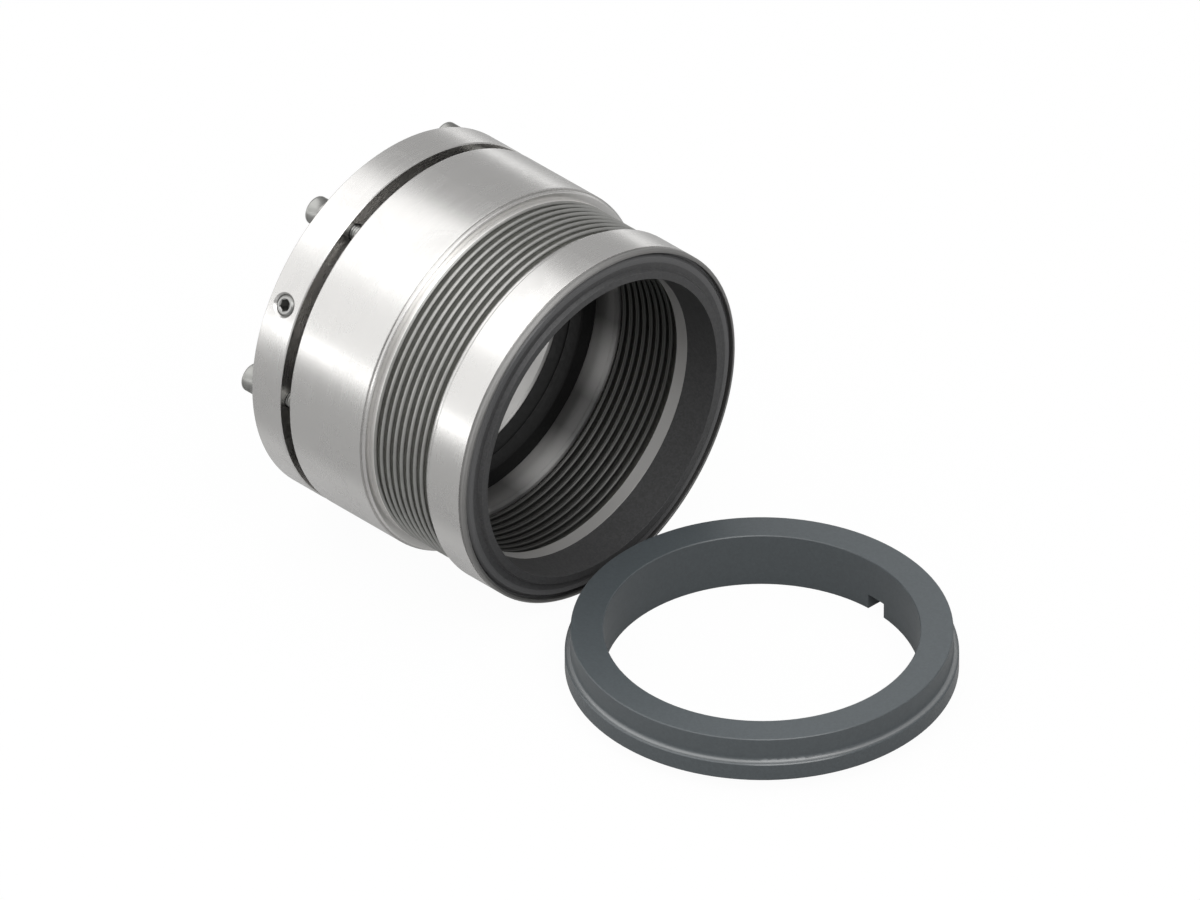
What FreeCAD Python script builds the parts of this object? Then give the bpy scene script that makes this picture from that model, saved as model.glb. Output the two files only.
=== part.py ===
"""Component mechanical seal: a rotating bellows head and its stationary mating ring.

The head lies on its side along +X, with its carbon face towards +X, and the mating ring lies flat
in front of it. Millimetres. The origin is on the shaft's axis, in the back face of the drive
collar. +Z is up, and both things rest on one level surface.
"""
import FreeCAD
import Part
import math
import os

# Shaft and the fits on it
SHAFT_DIAMETER = 50.0
SHAFT_CLEARANCE = 0.025
PACKING_CLEARANCE = 0.1

# Walls from the shaft outwards: the packing, then the body that the collar and the adapter share
PACKING_WALL = 4.5
BODY_WALL = 6.4

# Drive collar with its gland spigot
COLLAR_WIDTH = 7.25
COLLAR_CHAMFER = 0.2
SPIGOT_LENGTH = 10.85
SPIGOT_MOUTH_CHAMFER = 0.5
SPIGOT_SLIDE_CLEARANCE = 0.1

# Packing rings, squeezed by the spigot
PACKING_RING_WIDTH = 2.9
PACKING_RINGS = 2
PACKING_EDGE = 0.25
PACKING_TRAVEL = 1.5

# Bellows adapter
CLAMP_GAP = 2.4
ADAPTER_CHAMFER = 0.2
ADAPTER_BAND_STEP = 0.3
ADAPTER_BAND_WIDTH = 0.9
ADAPTER_BAND_CHAMFER = 0.25
CHAMBER_MOUTH_CHAMFER = 0.4
THROAT_INSIDE_BELLOWS = 0.6
THROAT_LENGTH = 5.4
THROAT_NOSE_WALL = 1.3
THROAT_NOSE_HEIGHT = 1.0
THROAT_CHAMFER = 0.5

# Bellows of thin diaphragms, welded in turn at the outer and the inner edge
CONVOLUTIONS = 8
CONVOLUTION_PITCH = 1.695
BELLOWS_BELOW_BODY = 1.8
BELLOWS_SPAN = 5.0
PLATE_THICKNESS = 0.2
BEAD_HALF_WIDTH = 0.43
BEAD_DEPTH = 0.45
WELD_MARGIN = 0.7

# Lips of the end rings that the bellows is welded to
LIP_WALL = 1.2
LIP_HEIGHT = 0.9
LIP_PAST_THROAT = 0.15

# Face holder, a shell round the carbon ring
HOLDER_BELOW_BODY = 0.9
HOLDER_BODY_LENGTH = 9.3
HOLDER_CHAMFER = 0.35
HOLDER_POCKET_WALL = 0.75
HOLDER_POCKET_DEPTH = 6.4
HOLDER_FLANGE_INSIDE_BELLOWS = 0.3
HOLDER_FLANGE_THICKNESS = 2.6
TURNED_LINE_WIDTH = 0.5
TURNED_LINE_DEPTH = 0.2
TURNED_LINE_TO_FRONT = 0.8

# Carbon ring
CARBON_BORE_CLEARANCE = 0.05
CARBON_BORE_FLARE = 0.55
CARBON_NOSE_WALL = 1.4
CARBON_NOSE_HEIGHT = 0.8
CARBON_NOSE_FLARE = 0.35
CARBON_SHOULDER_BELOW_RIM = 0.2
CARBON_RELIEF_WIDTH = 0.5
CARBON_RELIEF_DEPTH = 0.8
CARBON_EDGE_CHAMFER = 0.45

# Cap screws that draw the collar to the adapter
CAP_SCREWS = 6
CAP_SCREW_TO_CHAMBER = 3.5
CAP_SCREW_DIAMETER = 2.9
CAP_SCREW_ENGAGEMENT = 6.35
CAP_SCREW_TIP_CHAMFER = 0.5
CAP_HEAD_DIAMETER = 5.5
CAP_HEAD_HEIGHT = 3.0
CAP_HEAD_CHAMFER = 0.3
CAP_SOCKET_FLATS = 2.5
CAP_SOCKET_DEPTH = 1.5
COLLAR_HOLE_CLEARANCE = 0.25
ADAPTER_HOLE_CLEARANCE = 0.08
ADAPTER_HOLE_SPARE_DEPTH = 1.0

# Set screws that grip the shaft
SET_SCREWS = 3
SET_SCREW_FIRST_ANGLE = 30.0
SET_SCREW_DIAMETER = 3.9
SET_SCREW_BELOW_BODY = 0.15
SET_SCREW_TOP_CHAMFER = 0.35
SET_SCREW_HOLE_CLEARANCE = 0.05
SET_SCREW_HOLE_CHAMFER = 0.45
SET_SCREW_SHAFT_GAP = 0.6
SET_SCREW_CUP_DEPTH = 0.5
SET_SCREW_CUP_RADIUS = 1.3
SET_SOCKET_FLATS = 2.0
SET_SOCKET_DEPTH = 2.5

# Mating ring, and where it lies
RING_BORE_INSIDE_CARBON = 0.85
RING_FACE_MARGIN = 3.7
RING_NOSE_HEIGHT = 4.8
RING_FLANGE_STEP = 1.05
RING_FLANGE_HEIGHT = 3.5
RING_BACK_WALL = 2.9
RING_BACK_HEIGHT = 2.45
RING_EDGE_CHAMFER = 0.15
RING_SHOULDER_CHAMFER = 0.2
RING_SHOULDER_FILLET = 0.8
RING_SLOT_WIDTH = 4.0
RING_SLOT_DEPTH = 3.0
RING_SLOT_ANGLE = 88.0
RING_TO_HEAD_GAP = 3.6
RING_SIDE_SHIFT = 1.2

# Stations along the shaft, worked out from the sizes above
SHAFT_RADIUS = SHAFT_DIAMETER / 2
COLLAR_BORE_RADIUS = SHAFT_RADIUS + SHAFT_CLEARANCE
PACKING_BORE_RADIUS = SHAFT_RADIUS + PACKING_CLEARANCE
CHAMBER_RADIUS = PACKING_BORE_RADIUS + PACKING_WALL
SPIGOT_RADIUS = CHAMBER_RADIUS - SPIGOT_SLIDE_CLEARANCE
BODY_RADIUS = CHAMBER_RADIUS + BODY_WALL
CAP_SCREW_CIRCLE_RADIUS = CHAMBER_RADIUS + CAP_SCREW_TO_CHAMBER
HOLDER_RADIUS = BODY_RADIUS - HOLDER_BELOW_BODY
BELLOWS_OUTER_RADIUS = BODY_RADIUS - BELLOWS_BELOW_BODY
BELLOWS_INNER_RADIUS = BELLOWS_OUTER_RADIUS - BELLOWS_SPAN
THROAT_RADIUS = BELLOWS_INNER_RADIUS - THROAT_INSIDE_BELLOWS
HOLDER_FLANGE_BORE_RADIUS = BELLOWS_INNER_RADIUS - HOLDER_FLANGE_INSIDE_BELLOWS
CARBON_BACK_BORE_RADIUS = HOLDER_FLANGE_BORE_RADIUS + CARBON_BORE_CLEARANCE
CARBON_FACE_BORE_RADIUS = CARBON_BACK_BORE_RADIUS + CARBON_BORE_FLARE
CARBON_NOSE_RADIUS = CARBON_FACE_BORE_RADIUS + CARBON_NOSE_WALL
RING_BORE_RADIUS = CARBON_FACE_BORE_RADIUS - RING_BORE_INSIDE_CARBON
RING_NOSE_RADIUS = CARBON_NOSE_RADIUS + RING_FACE_MARGIN
RING_FLANGE_RADIUS = RING_NOSE_RADIUS + RING_FLANGE_STEP
SPIGOT_END = COLLAR_WIDTH + SPIGOT_LENGTH
PACKING_END = SPIGOT_END + PACKING_RINGS * PACKING_RING_WIDTH
ADAPTER_BACK = COLLAR_WIDTH + CLAMP_GAP
CAP_SCREW_LENGTH = ADAPTER_BACK + CAP_SCREW_ENGAGEMENT
THROAT_END = PACKING_END + THROAT_LENGTH
BELLOWS_START = THROAT_END + LIP_PAST_THROAT
LIP_INNER_RADIUS = BELLOWS_OUTER_RADIUS - LIP_WALL
ADAPTER_FRONT = BELLOWS_START - LIP_HEIGHT
HALF_PITCH = CONVOLUTION_PITCH / 2
BELLOWS_END = BELLOWS_START + CONVOLUTIONS * CONVOLUTION_PITCH
HOLDER_BACK = BELLOWS_END + LIP_HEIGHT
HOLDER_FRONT = HOLDER_BACK + HOLDER_BODY_LENGTH
POCKET_RADIUS = HOLDER_RADIUS - HOLDER_POCKET_WALL
POCKET_FLOOR = HOLDER_FRONT - HOLDER_POCKET_DEPTH
FLANGE_BACK = POCKET_FLOOR - HOLDER_FLANGE_THICKNESS
CARBON_SHOULDER = HOLDER_FRONT - CARBON_SHOULDER_BELOW_RIM
CARBON_NOSE_FACE = CARBON_SHOULDER + CARBON_NOSE_HEIGHT
FLOOR = -BODY_RADIUS
RING_CENTRE_X = CARBON_NOSE_FACE + RING_TO_HEAD_GAP + RING_FLANGE_RADIUS

SHAFT_AXIS = FreeCAD.Vector(1, 0, 0)
UP = FreeCAD.Vector(0, 0, 1)


def turned(outline):
    """A solid turned on the shaft's axis from corners of (station along X, radius)."""
    corners = [FreeCAD.Vector(station, 0, radius) for station, radius in outline]
    profile = Part.Face(Part.makePolygon(corners + corners[:1]))
    return profile.revolve(FreeCAD.Vector(0, 0, 0), SHAFT_AXIS, 360)


def rod(radius, start, end, direction, origin):
    """A round bar on the line through origin, from start to end along direction."""
    return Part.makeCylinder(radius, end - start, origin + direction * start, direction)


def hexagon(flats, depth, mouth, inward):
    """A hexagon socket's hollow, from its mouth inward, with a drilled point at its floor."""
    corner_radius = flats / math.sqrt(3)
    side = FreeCAD.Vector(0, 0, 1) if abs(inward.z) < 0.5 else FreeCAD.Vector(1, 0, 0)
    across = inward.cross(side).normalize()
    side = across.cross(inward)
    corners = []
    for step in range(6):
        turn = math.radians(60 * step)
        aside = side * (corner_radius * math.cos(turn))
        over = across * (corner_radius * math.sin(turn))
        corners.append(mouth + aside + over)
    prism = Part.Face(Part.makePolygon(corners + corners[:1])).extrude(inward * depth)
    point = Part.makeCone(flats / 2, 0, flats / 4, mouth + inward * depth, inward)
    return prism.fuse(point)


def radial(angle):
    """The outward direction at an angle from +Y towards +Z."""
    turn = math.radians(angle)
    return FreeCAD.Vector(0, math.cos(turn), math.sin(turn))


def cap_screw_angles():
    return [360.0 / CAP_SCREWS * number for number in range(CAP_SCREWS)]


def set_screw_angles():
    return [SET_SCREW_FIRST_ANGLE + 360.0 / SET_SCREWS * number for number in range(SET_SCREWS)]


def set_screw_centre():
    """The middle of the collar's width, where the set screws point at the shaft."""
    return FreeCAD.Vector(COLLAR_WIDTH / 2, 0, 0)


def drive_collar():
    """The ring that grips the shaft, with the spigot that reaches the packing."""
    body = turned([
        (0, COLLAR_BORE_RADIUS),
        (0, BODY_RADIUS - COLLAR_CHAMFER),
        (COLLAR_CHAMFER, BODY_RADIUS),
        (COLLAR_WIDTH - COLLAR_CHAMFER, BODY_RADIUS),
        (COLLAR_WIDTH, BODY_RADIUS - COLLAR_CHAMFER),
        (COLLAR_WIDTH, SPIGOT_RADIUS),
        (SPIGOT_END, SPIGOT_RADIUS),
        (SPIGOT_END, COLLAR_BORE_RADIUS + SPIGOT_MOUTH_CHAMFER),
        (SPIGOT_END - SPIGOT_MOUTH_CHAMFER, COLLAR_BORE_RADIUS),
    ])
    for angle in cap_screw_angles():
        hole_radius = CAP_SCREW_DIAMETER / 2 + COLLAR_HOLE_CLEARANCE
        centre = radial(angle) * CAP_SCREW_CIRCLE_RADIUS
        body = body.cut(rod(hole_radius, -1, COLLAR_WIDTH + 1, SHAFT_AXIS, centre))
    for angle in set_screw_angles():
        hole_radius = SET_SCREW_DIAMETER / 2 + SET_SCREW_HOLE_CLEARANCE
        outward = radial(angle)
        bore = rod(hole_radius, SHAFT_RADIUS / 2, BODY_RADIUS + 1, outward, set_screw_centre())
        mouth = Part.makeCone(
            hole_radius, hole_radius + 2 * SET_SCREW_HOLE_CHAMFER, 2 * SET_SCREW_HOLE_CHAMFER,
            set_screw_centre() + outward * (BODY_RADIUS - SET_SCREW_HOLE_CHAMFER), outward)
        body = body.cut(bore).cut(mouth)
    return body


def cap_screw(angle):
    """A socket-head cap screw: its head bears on the collar's back, its shank reaches the adapter."""
    radius = CAP_SCREW_DIAMETER / 2
    head_radius = CAP_HEAD_DIAMETER / 2
    centre = radial(angle) * CAP_SCREW_CIRCLE_RADIUS
    head = rod(head_radius, -CAP_HEAD_HEIGHT + CAP_HEAD_CHAMFER, 0, SHAFT_AXIS, centre)
    crown = Part.makeCone(
        head_radius - CAP_HEAD_CHAMFER, head_radius, CAP_HEAD_CHAMFER,
        centre - SHAFT_AXIS * CAP_HEAD_HEIGHT, SHAFT_AXIS)
    shank_end = CAP_SCREW_LENGTH - CAP_SCREW_TIP_CHAMFER
    shank = rod(radius, 0, shank_end, SHAFT_AXIS, centre)
    tip = Part.makeCone(
        radius, radius - CAP_SCREW_TIP_CHAMFER, CAP_SCREW_TIP_CHAMFER,
        centre + SHAFT_AXIS * shank_end, SHAFT_AXIS)
    socket = hexagon(CAP_SOCKET_FLATS, CAP_SOCKET_DEPTH, centre - SHAFT_AXIS * CAP_HEAD_HEIGHT, SHAFT_AXIS)
    return head.fuse([crown, shank, tip]).cut(socket).removeSplitter()


def set_screw(angle):
    """A headless socket screw with a cup point, held just clear of the shaft."""
    radius = SET_SCREW_DIAMETER / 2
    outward = radial(angle)
    tip = SHAFT_RADIUS + SET_SCREW_SHAFT_GAP
    top = BODY_RADIUS - SET_SCREW_BELOW_BODY
    body = rod(radius, tip, top - SET_SCREW_TOP_CHAMFER, outward, set_screw_centre())
    crown = Part.makeCone(
        radius, radius - SET_SCREW_TOP_CHAMFER, SET_SCREW_TOP_CHAMFER,
        set_screw_centre() + outward * (top - SET_SCREW_TOP_CHAMFER), outward)
    cup = Part.makeCone(
        SET_SCREW_CUP_RADIUS, 0, SET_SCREW_CUP_DEPTH, set_screw_centre() + outward * tip, outward)
    socket = hexagon(SET_SOCKET_FLATS, SET_SOCKET_DEPTH, set_screw_centre() + outward * top, outward * -1)
    return body.fuse(crown).cut(cup).cut(socket).removeSplitter()


def packing_ring(number):
    """One graphite ring of the packing, its outer edges a little rounded off."""
    back = SPIGOT_END + number * PACKING_RING_WIDTH
    front = back + PACKING_RING_WIDTH
    outer = CHAMBER_RADIUS - PACKING_CLEARANCE
    return turned([
        (back, PACKING_BORE_RADIUS + PACKING_EDGE),
        (back, outer),
        (front, outer),
        (front, PACKING_BORE_RADIUS + PACKING_EDGE),
        (front - PACKING_EDGE, PACKING_BORE_RADIUS),
        (back + PACKING_EDGE, PACKING_BORE_RADIUS),
    ])


def bellows_adapter():
    """The ring that holds the packing behind and carries the bellows in front."""
    band_start = ADAPTER_FRONT - ADAPTER_BAND_WIDTH
    band_radius = BODY_RADIUS - ADAPTER_BAND_STEP
    mouth = CHAMBER_RADIUS + CHAMBER_MOUTH_CHAMFER
    body = turned([
        (ADAPTER_BACK, mouth),
        (ADAPTER_BACK, BODY_RADIUS - ADAPTER_CHAMFER),
        (ADAPTER_BACK + ADAPTER_CHAMFER, BODY_RADIUS),
        (band_start, BODY_RADIUS),
        (band_start, band_radius),
        (ADAPTER_FRONT - ADAPTER_BAND_CHAMFER, band_radius),
        (ADAPTER_FRONT, band_radius - ADAPTER_BAND_CHAMFER),
        (ADAPTER_FRONT, BELLOWS_OUTER_RADIUS),
        (BELLOWS_START, BELLOWS_OUTER_RADIUS),
        (BELLOWS_START, LIP_INNER_RADIUS),
        (THROAT_END - THROAT_NOSE_HEIGHT, LIP_INNER_RADIUS),
        (THROAT_END - THROAT_NOSE_HEIGHT, THROAT_RADIUS + THROAT_NOSE_WALL),
        (THROAT_END, THROAT_RADIUS + THROAT_NOSE_WALL),
        (THROAT_END, THROAT_RADIUS + THROAT_CHAMFER),
        (THROAT_END - THROAT_CHAMFER, THROAT_RADIUS),
        (PACKING_END, THROAT_RADIUS),
        (PACKING_END, CHAMBER_RADIUS),
        (ADAPTER_BACK + CHAMBER_MOUTH_CHAMFER, CHAMBER_RADIUS),
    ])
    hole_end = CAP_SCREW_LENGTH + PACKING_TRAVEL + ADAPTER_HOLE_SPARE_DEPTH
    hole_radius = CAP_SCREW_DIAMETER / 2 + ADAPTER_HOLE_CLEARANCE
    for angle in cap_screw_angles():
        centre = radial(angle) * CAP_SCREW_CIRCLE_RADIUS
        body = body.cut(rod(hole_radius, ADAPTER_BACK - 1, hole_end, SHAFT_AXIS, centre))
    return body


def diaphragm(number):
    """One bellows plate: a cone from its outer weld to its inner weld, half a bead at each edge."""
    start = BELLOWS_START + number * HALF_PITCH
    outline = [
        (0, BELLOWS_OUTER_RADIUS - WELD_MARGIN),
        (0, BELLOWS_OUTER_RADIUS),
        (BEAD_HALF_WIDTH, BELLOWS_OUTER_RADIUS),
        (PLATE_THICKNESS, BELLOWS_OUTER_RADIUS - BEAD_DEPTH),
        (HALF_PITCH, BELLOWS_INNER_RADIUS + WELD_MARGIN),
        (HALF_PITCH, BELLOWS_INNER_RADIUS),
        (HALF_PITCH - BEAD_HALF_WIDTH, BELLOWS_INNER_RADIUS),
        (HALF_PITCH - PLATE_THICKNESS, BELLOWS_INNER_RADIUS + BEAD_DEPTH),
    ]
    if number % 2:
        outline = [(HALF_PITCH - station, radius) for station, radius in outline]
    return turned([(start + station, radius) for station, radius in outline])


def face_holder():
    """The shell that the bellows carries, with a pocket for the carbon ring."""
    line_front = HOLDER_FRONT - TURNED_LINE_TO_FRONT
    line_back = line_front - TURNED_LINE_WIDTH
    line_floor = HOLDER_RADIUS - TURNED_LINE_DEPTH
    return turned([
        (BELLOWS_END, LIP_INNER_RADIUS),
        (BELLOWS_END, BELLOWS_OUTER_RADIUS),
        (HOLDER_BACK, BELLOWS_OUTER_RADIUS),
        (HOLDER_BACK, HOLDER_RADIUS - HOLDER_CHAMFER),
        (HOLDER_BACK + HOLDER_CHAMFER, HOLDER_RADIUS),
        (line_back, HOLDER_RADIUS),
        (line_back, line_floor),
        (line_front, line_floor),
        (line_front, HOLDER_RADIUS),
        (HOLDER_FRONT - HOLDER_CHAMFER, HOLDER_RADIUS),
        (HOLDER_FRONT, HOLDER_RADIUS - HOLDER_CHAMFER),
        (HOLDER_FRONT, POCKET_RADIUS),
        (POCKET_FLOOR, POCKET_RADIUS),
        (POCKET_FLOOR, HOLDER_FLANGE_BORE_RADIUS),
        (FLANGE_BACK, HOLDER_FLANGE_BORE_RADIUS),
        (FLANGE_BACK, LIP_INNER_RADIUS),
    ])


def carbon_ring():
    """The softer face, pressed into the shell, with a narrow nose that runs on the mating ring."""
    relieved = POCKET_RADIUS - CARBON_RELIEF_WIDTH
    return turned([
        (POCKET_FLOOR, CARBON_BACK_BORE_RADIUS),
        (POCKET_FLOOR, POCKET_RADIUS),
        (CARBON_SHOULDER - CARBON_RELIEF_DEPTH, POCKET_RADIUS),
        (CARBON_SHOULDER - CARBON_RELIEF_DEPTH, relieved),
        (CARBON_SHOULDER - CARBON_EDGE_CHAMFER, relieved),
        (CARBON_SHOULDER, relieved - CARBON_EDGE_CHAMFER),
        (CARBON_SHOULDER, CARBON_NOSE_RADIUS + CARBON_NOSE_FLARE),
        (CARBON_NOSE_FACE, CARBON_NOSE_RADIUS),
        (CARBON_NOSE_FACE, CARBON_FACE_BORE_RADIUS),
    ])


def mating_ring():
    """The hard stationary ring, lying on its back, with a slot across its back for a stop pin."""
    back_radius = RING_BORE_RADIUS + RING_BACK_WALL
    flange_bottom = RING_BACK_HEIGHT
    shoulder = flange_bottom + RING_FLANGE_HEIGHT
    top = shoulder + RING_NOSE_HEIGHT
    fillet = RING_SHOULDER_FILLET
    slack = fillet * (1 - math.sqrt(0.5))
    outline = [
        (RING_NOSE_RADIUS, shoulder + fillet),
        (RING_NOSE_RADIUS, top - RING_EDGE_CHAMFER),
        (RING_NOSE_RADIUS - RING_EDGE_CHAMFER, top),
        (RING_BORE_RADIUS + RING_EDGE_CHAMFER, top),
        (RING_BORE_RADIUS, top - RING_EDGE_CHAMFER),
        (RING_BORE_RADIUS, 0),
        (back_radius, 0),
        (back_radius, flange_bottom),
        (RING_FLANGE_RADIUS - RING_EDGE_CHAMFER, flange_bottom),
        (RING_FLANGE_RADIUS, flange_bottom + RING_EDGE_CHAMFER),
        (RING_FLANGE_RADIUS, shoulder - RING_SHOULDER_CHAMFER),
        (RING_FLANGE_RADIUS - RING_SHOULDER_CHAMFER, shoulder),
        (RING_NOSE_RADIUS + fillet, shoulder),
    ]
    corners = [FreeCAD.Vector(radius, 0, height) for radius, height in outline]
    hollow = FreeCAD.Vector(RING_NOSE_RADIUS + slack, 0, shoulder + slack)
    rounded = Part.Arc(corners[-1], hollow, corners[0]).toShape()
    profile = Part.Face(Part.Wire(Part.makePolygon(corners).Edges + [rounded]))
    ring = profile.revolve(FreeCAD.Vector(0, 0, 0), UP, 360)
    slot = Part.makeBox(
        back_radius, RING_SLOT_WIDTH, RING_SLOT_DEPTH,
        FreeCAD.Vector(0, -RING_SLOT_WIDTH / 2, 0))
    slot.rotate(FreeCAD.Vector(0, 0, 0), UP, RING_SLOT_ANGLE)
    ring = ring.cut(slot)
    ring.translate(FreeCAD.Vector(RING_CENTRE_X, RING_SIDE_SHIFT, FLOOR))
    return ring


def build():
    """Every piece of the seal under its own name."""
    pieces = {
        "drive_collar": drive_collar(),
        "bellows_adapter": bellows_adapter(),
        "face_holder": face_holder(),
        "carbon_ring": carbon_ring(),
        "mating_ring": mating_ring(),
    }
    for number, angle in enumerate(cap_screw_angles(), 1):
        pieces["cap_screw_%d" % number] = cap_screw(angle)
    for number, angle in enumerate(set_screw_angles(), 1):
        pieces["set_screw_%d" % number] = set_screw(angle)
    for number in range(PACKING_RINGS):
        pieces["packing_ring_%d" % (number + 1)] = packing_ring(number)
    for number in range(2 * CONVOLUTIONS):
        pieces["diaphragm_%02d" % (number + 1)] = diaphragm(number)
    return pieces


def main():
    os.makedirs("parts", exist_ok=True)
    for name, solid in build().items():
        solid.exportStep("parts/%s.step" % name)
        print("%-16s %8.1f mm3  valid %s  solids %d" % (name, solid.Volume, solid.isValid(), len(solid.Solids)))


main()
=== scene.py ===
"""Dresses the component mechanical seal: a bellows head lying on its side and its mating ring.

The file is laid out as an add-on and run as a script. Lengths are in metres, in the frame of the
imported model: the shaft runs along X, and both things rest on one level floor.
"""
import math
from collections import namedtuple

import bmesh
import bpy
from mathutils import Matrix, Vector


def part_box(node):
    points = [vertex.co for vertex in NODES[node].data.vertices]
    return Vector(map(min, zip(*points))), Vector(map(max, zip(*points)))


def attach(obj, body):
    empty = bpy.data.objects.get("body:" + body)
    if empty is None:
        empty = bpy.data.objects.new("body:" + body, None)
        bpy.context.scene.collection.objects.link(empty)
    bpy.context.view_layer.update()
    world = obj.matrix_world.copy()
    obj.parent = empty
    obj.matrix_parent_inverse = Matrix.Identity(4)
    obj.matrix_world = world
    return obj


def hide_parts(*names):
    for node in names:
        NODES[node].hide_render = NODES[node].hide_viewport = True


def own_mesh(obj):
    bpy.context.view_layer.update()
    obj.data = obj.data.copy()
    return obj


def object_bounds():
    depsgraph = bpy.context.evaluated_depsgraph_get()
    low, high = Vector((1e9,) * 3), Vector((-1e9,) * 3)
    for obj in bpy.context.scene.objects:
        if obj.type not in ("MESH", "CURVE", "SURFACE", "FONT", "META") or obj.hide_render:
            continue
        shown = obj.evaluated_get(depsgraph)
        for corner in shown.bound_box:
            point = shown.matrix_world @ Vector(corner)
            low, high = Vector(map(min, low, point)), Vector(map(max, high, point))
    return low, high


bl_info = {
    "name": "Component mechanical seal",
    "version": (1, 0, 0),
    "blender": (4, 5, 0),
    "location": "3D View > Sidebar > Seal",
    "description": "Finishes of a bellows seal head and its mating ring, with a plain studio",
    "category": "Object",
}

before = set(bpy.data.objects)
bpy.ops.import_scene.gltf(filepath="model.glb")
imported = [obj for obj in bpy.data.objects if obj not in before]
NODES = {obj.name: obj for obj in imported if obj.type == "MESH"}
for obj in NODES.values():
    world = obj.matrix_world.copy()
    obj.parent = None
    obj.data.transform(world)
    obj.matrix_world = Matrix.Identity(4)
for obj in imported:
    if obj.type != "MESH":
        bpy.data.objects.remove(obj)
CAD_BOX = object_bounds()
MM = 0.001

# What the frame says of the pieces that are made anew
DIAPHRAGMS = sorted(name for name in NODES if name.startswith("diaphragm_"))
CAP_SCREWS = sorted(name for name in NODES if name.startswith("cap_screw_"))
SET_SCREWS = sorted(name for name in NODES if name.startswith("set_screw_"))
PACKING_RINGS = sorted(name for name in NODES if name.startswith("packing_ring_"))
BELLOWS_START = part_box(DIAPHRAGMS[0])[0].x
BELLOWS_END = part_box(DIAPHRAGMS[-1])[1].x
BELLOWS_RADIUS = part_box(DIAPHRAGMS[0])[1].z
PACKING_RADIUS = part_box(PACKING_RINGS[0])[1].z
COLLAR_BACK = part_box("drive_collar")[0].x
CAP_LOW, CAP_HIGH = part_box(CAP_SCREWS[0])
SET_LOW, SET_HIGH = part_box(SET_SCREWS[-1])
RING_LOW, RING_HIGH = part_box("mating_ring")
RING_MIDDLE = (RING_LOW + RING_HIGH) / 2


# Settings


def length(title, words, value):
    return bpy.props.FloatProperty(name=title, description=words, default=value, unit="LENGTH", precision=5)


def share(title, words, value):
    return bpy.props.FloatProperty(
        name=title, description=words, default=value, min=0, max=1, subtype="FACTOR")


def degrees(title, words, value):
    return bpy.props.FloatProperty(
        name=title, description=words, default=math.radians(value), subtype="ANGLE")


def count(title, words, value, least):
    return bpy.props.IntProperty(name=title, description=words, default=value, min=least)


def colour(title, words, value):
    return bpy.props.FloatVectorProperty(
        name=title, description=words, default=value, size=3, min=0, max=1, subtype="COLOR")


class SealBellows(bpy.types.PropertyGroup):
    """Sizes of the welded bellows."""

    convolutions: count("Convolutions", "Pairs of diaphragms", len(DIAPHRAGMS) // 2, 1)
    span: length("Span", "From the inner to the outer edge of a diaphragm", 5.0 * MM)
    plate: length("Plate", "Thickness of one diaphragm", 0.2 * MM)
    bead: length("Bead", "Radius of the round weld bead along each edge", 0.43 * MM)
    margin: length("Margin", "Depth over which two diaphragms lie face to face at a weld", 0.7 * MM)
    # Painted light: inside this radius the plates' flanks are lighter
    flank: length("Flanks", "Radius inside which the plates are lighter than their beads", 33.8 * MM)
    # Painted shade: inside this radius the plates are dark
    inside: length("Inner edges", "Radius inside which the plates are dark", 31.0 * MM)
    segments: count("Segments", "Steps round the shaft", 160, 24)


class SealScrews(bpy.types.PropertyGroup):
    """Sizes of the cap screws and the set screws."""

    cap_circle: length("Cap screw circle", "Radius of the circle of cap screws", 33.1 * MM)
    cap_shank: length("Cap screw shank", "Radius over the thread of a cap screw", 1.45 * MM)
    cap_pitch: length("Cap screw pitch", "Pitch of a cap screw's thread", 0.5 * MM)
    cap_socket: length("Cap screw socket", "Across the flats of a cap screw's hexagon", 2.5 * MM)
    cap_socket_depth: length("Cap screw socket depth", "Depth of a cap screw's hexagon", 1.5 * MM)
    cap_plain: length("Cap screw plain shank", "From under a cap screw's head to its thread", 6.0 * MM)
    cap_thread: length("Cap screw thread", "Length of a cap screw's thread", 5.2 * MM)
    set_radius: length("Set screw radius", "Radius over the thread of a set screw", 1.95 * MM)
    set_socket: length("Set screw socket", "Across the flats of a set screw's hexagon", 2.0 * MM)
    set_socket_depth: length("Set screw socket depth", "Depth of a set screw's hexagon", 2.5 * MM)
    set_first_angle: degrees("First set screw", "Angle from +Y towards +Z", 30)
    knurls: count("Knurls", "Ridges round a cap screw's head", 36, 6)
    knurl_depth: length("Knurl depth", "Depth of the ridges round a cap screw's head", 0.12 * MM)


class SealFaces(bpy.types.PropertyGroup):
    """Where the finish, or the painted shade or light, of a face or an edge changes."""

    # Inside this radius the collar's bore is darker with painted shade
    collar_bore: length("Collar's bore", "Radius inside which the collar is duller", 27.0 * MM)
    # Inside this radius the adapter's throat is darker with painted shade
    throat: length("Adapter's throat", "Radius inside which the adapter is matt", 30.5 * MM)
    # Painted light: the adapter's band beside the bellows is lighter
    weld_side: length("Adapter's front", "Width of its lighter band beside the bellows", 0.95 * MM)
    # Inside this radius the holder's bore is darker with painted shade
    holder_bore: length("Holder's bore", "Radius inside which the face holder is matt", 29.4 * MM)
    # The holder's lip is darker with painted shade
    lip: length("Holder's lip", "Width of the matt lip at the front of the face holder", 1.3 * MM)
    # Outside this radius the carbon's face has a ring of painted highlight
    lapped: length("Lapped face", "Radius inside which the carbon's face is matt", 32.6 * MM)
    ring_nose: length("Ring's nose", "Radius of the mating ring over its fillet", 34.6 * MM)
    ring_nose_height: length("Nose height", "From the mating ring's top to its shoulder", 4.8 * MM)


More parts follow.
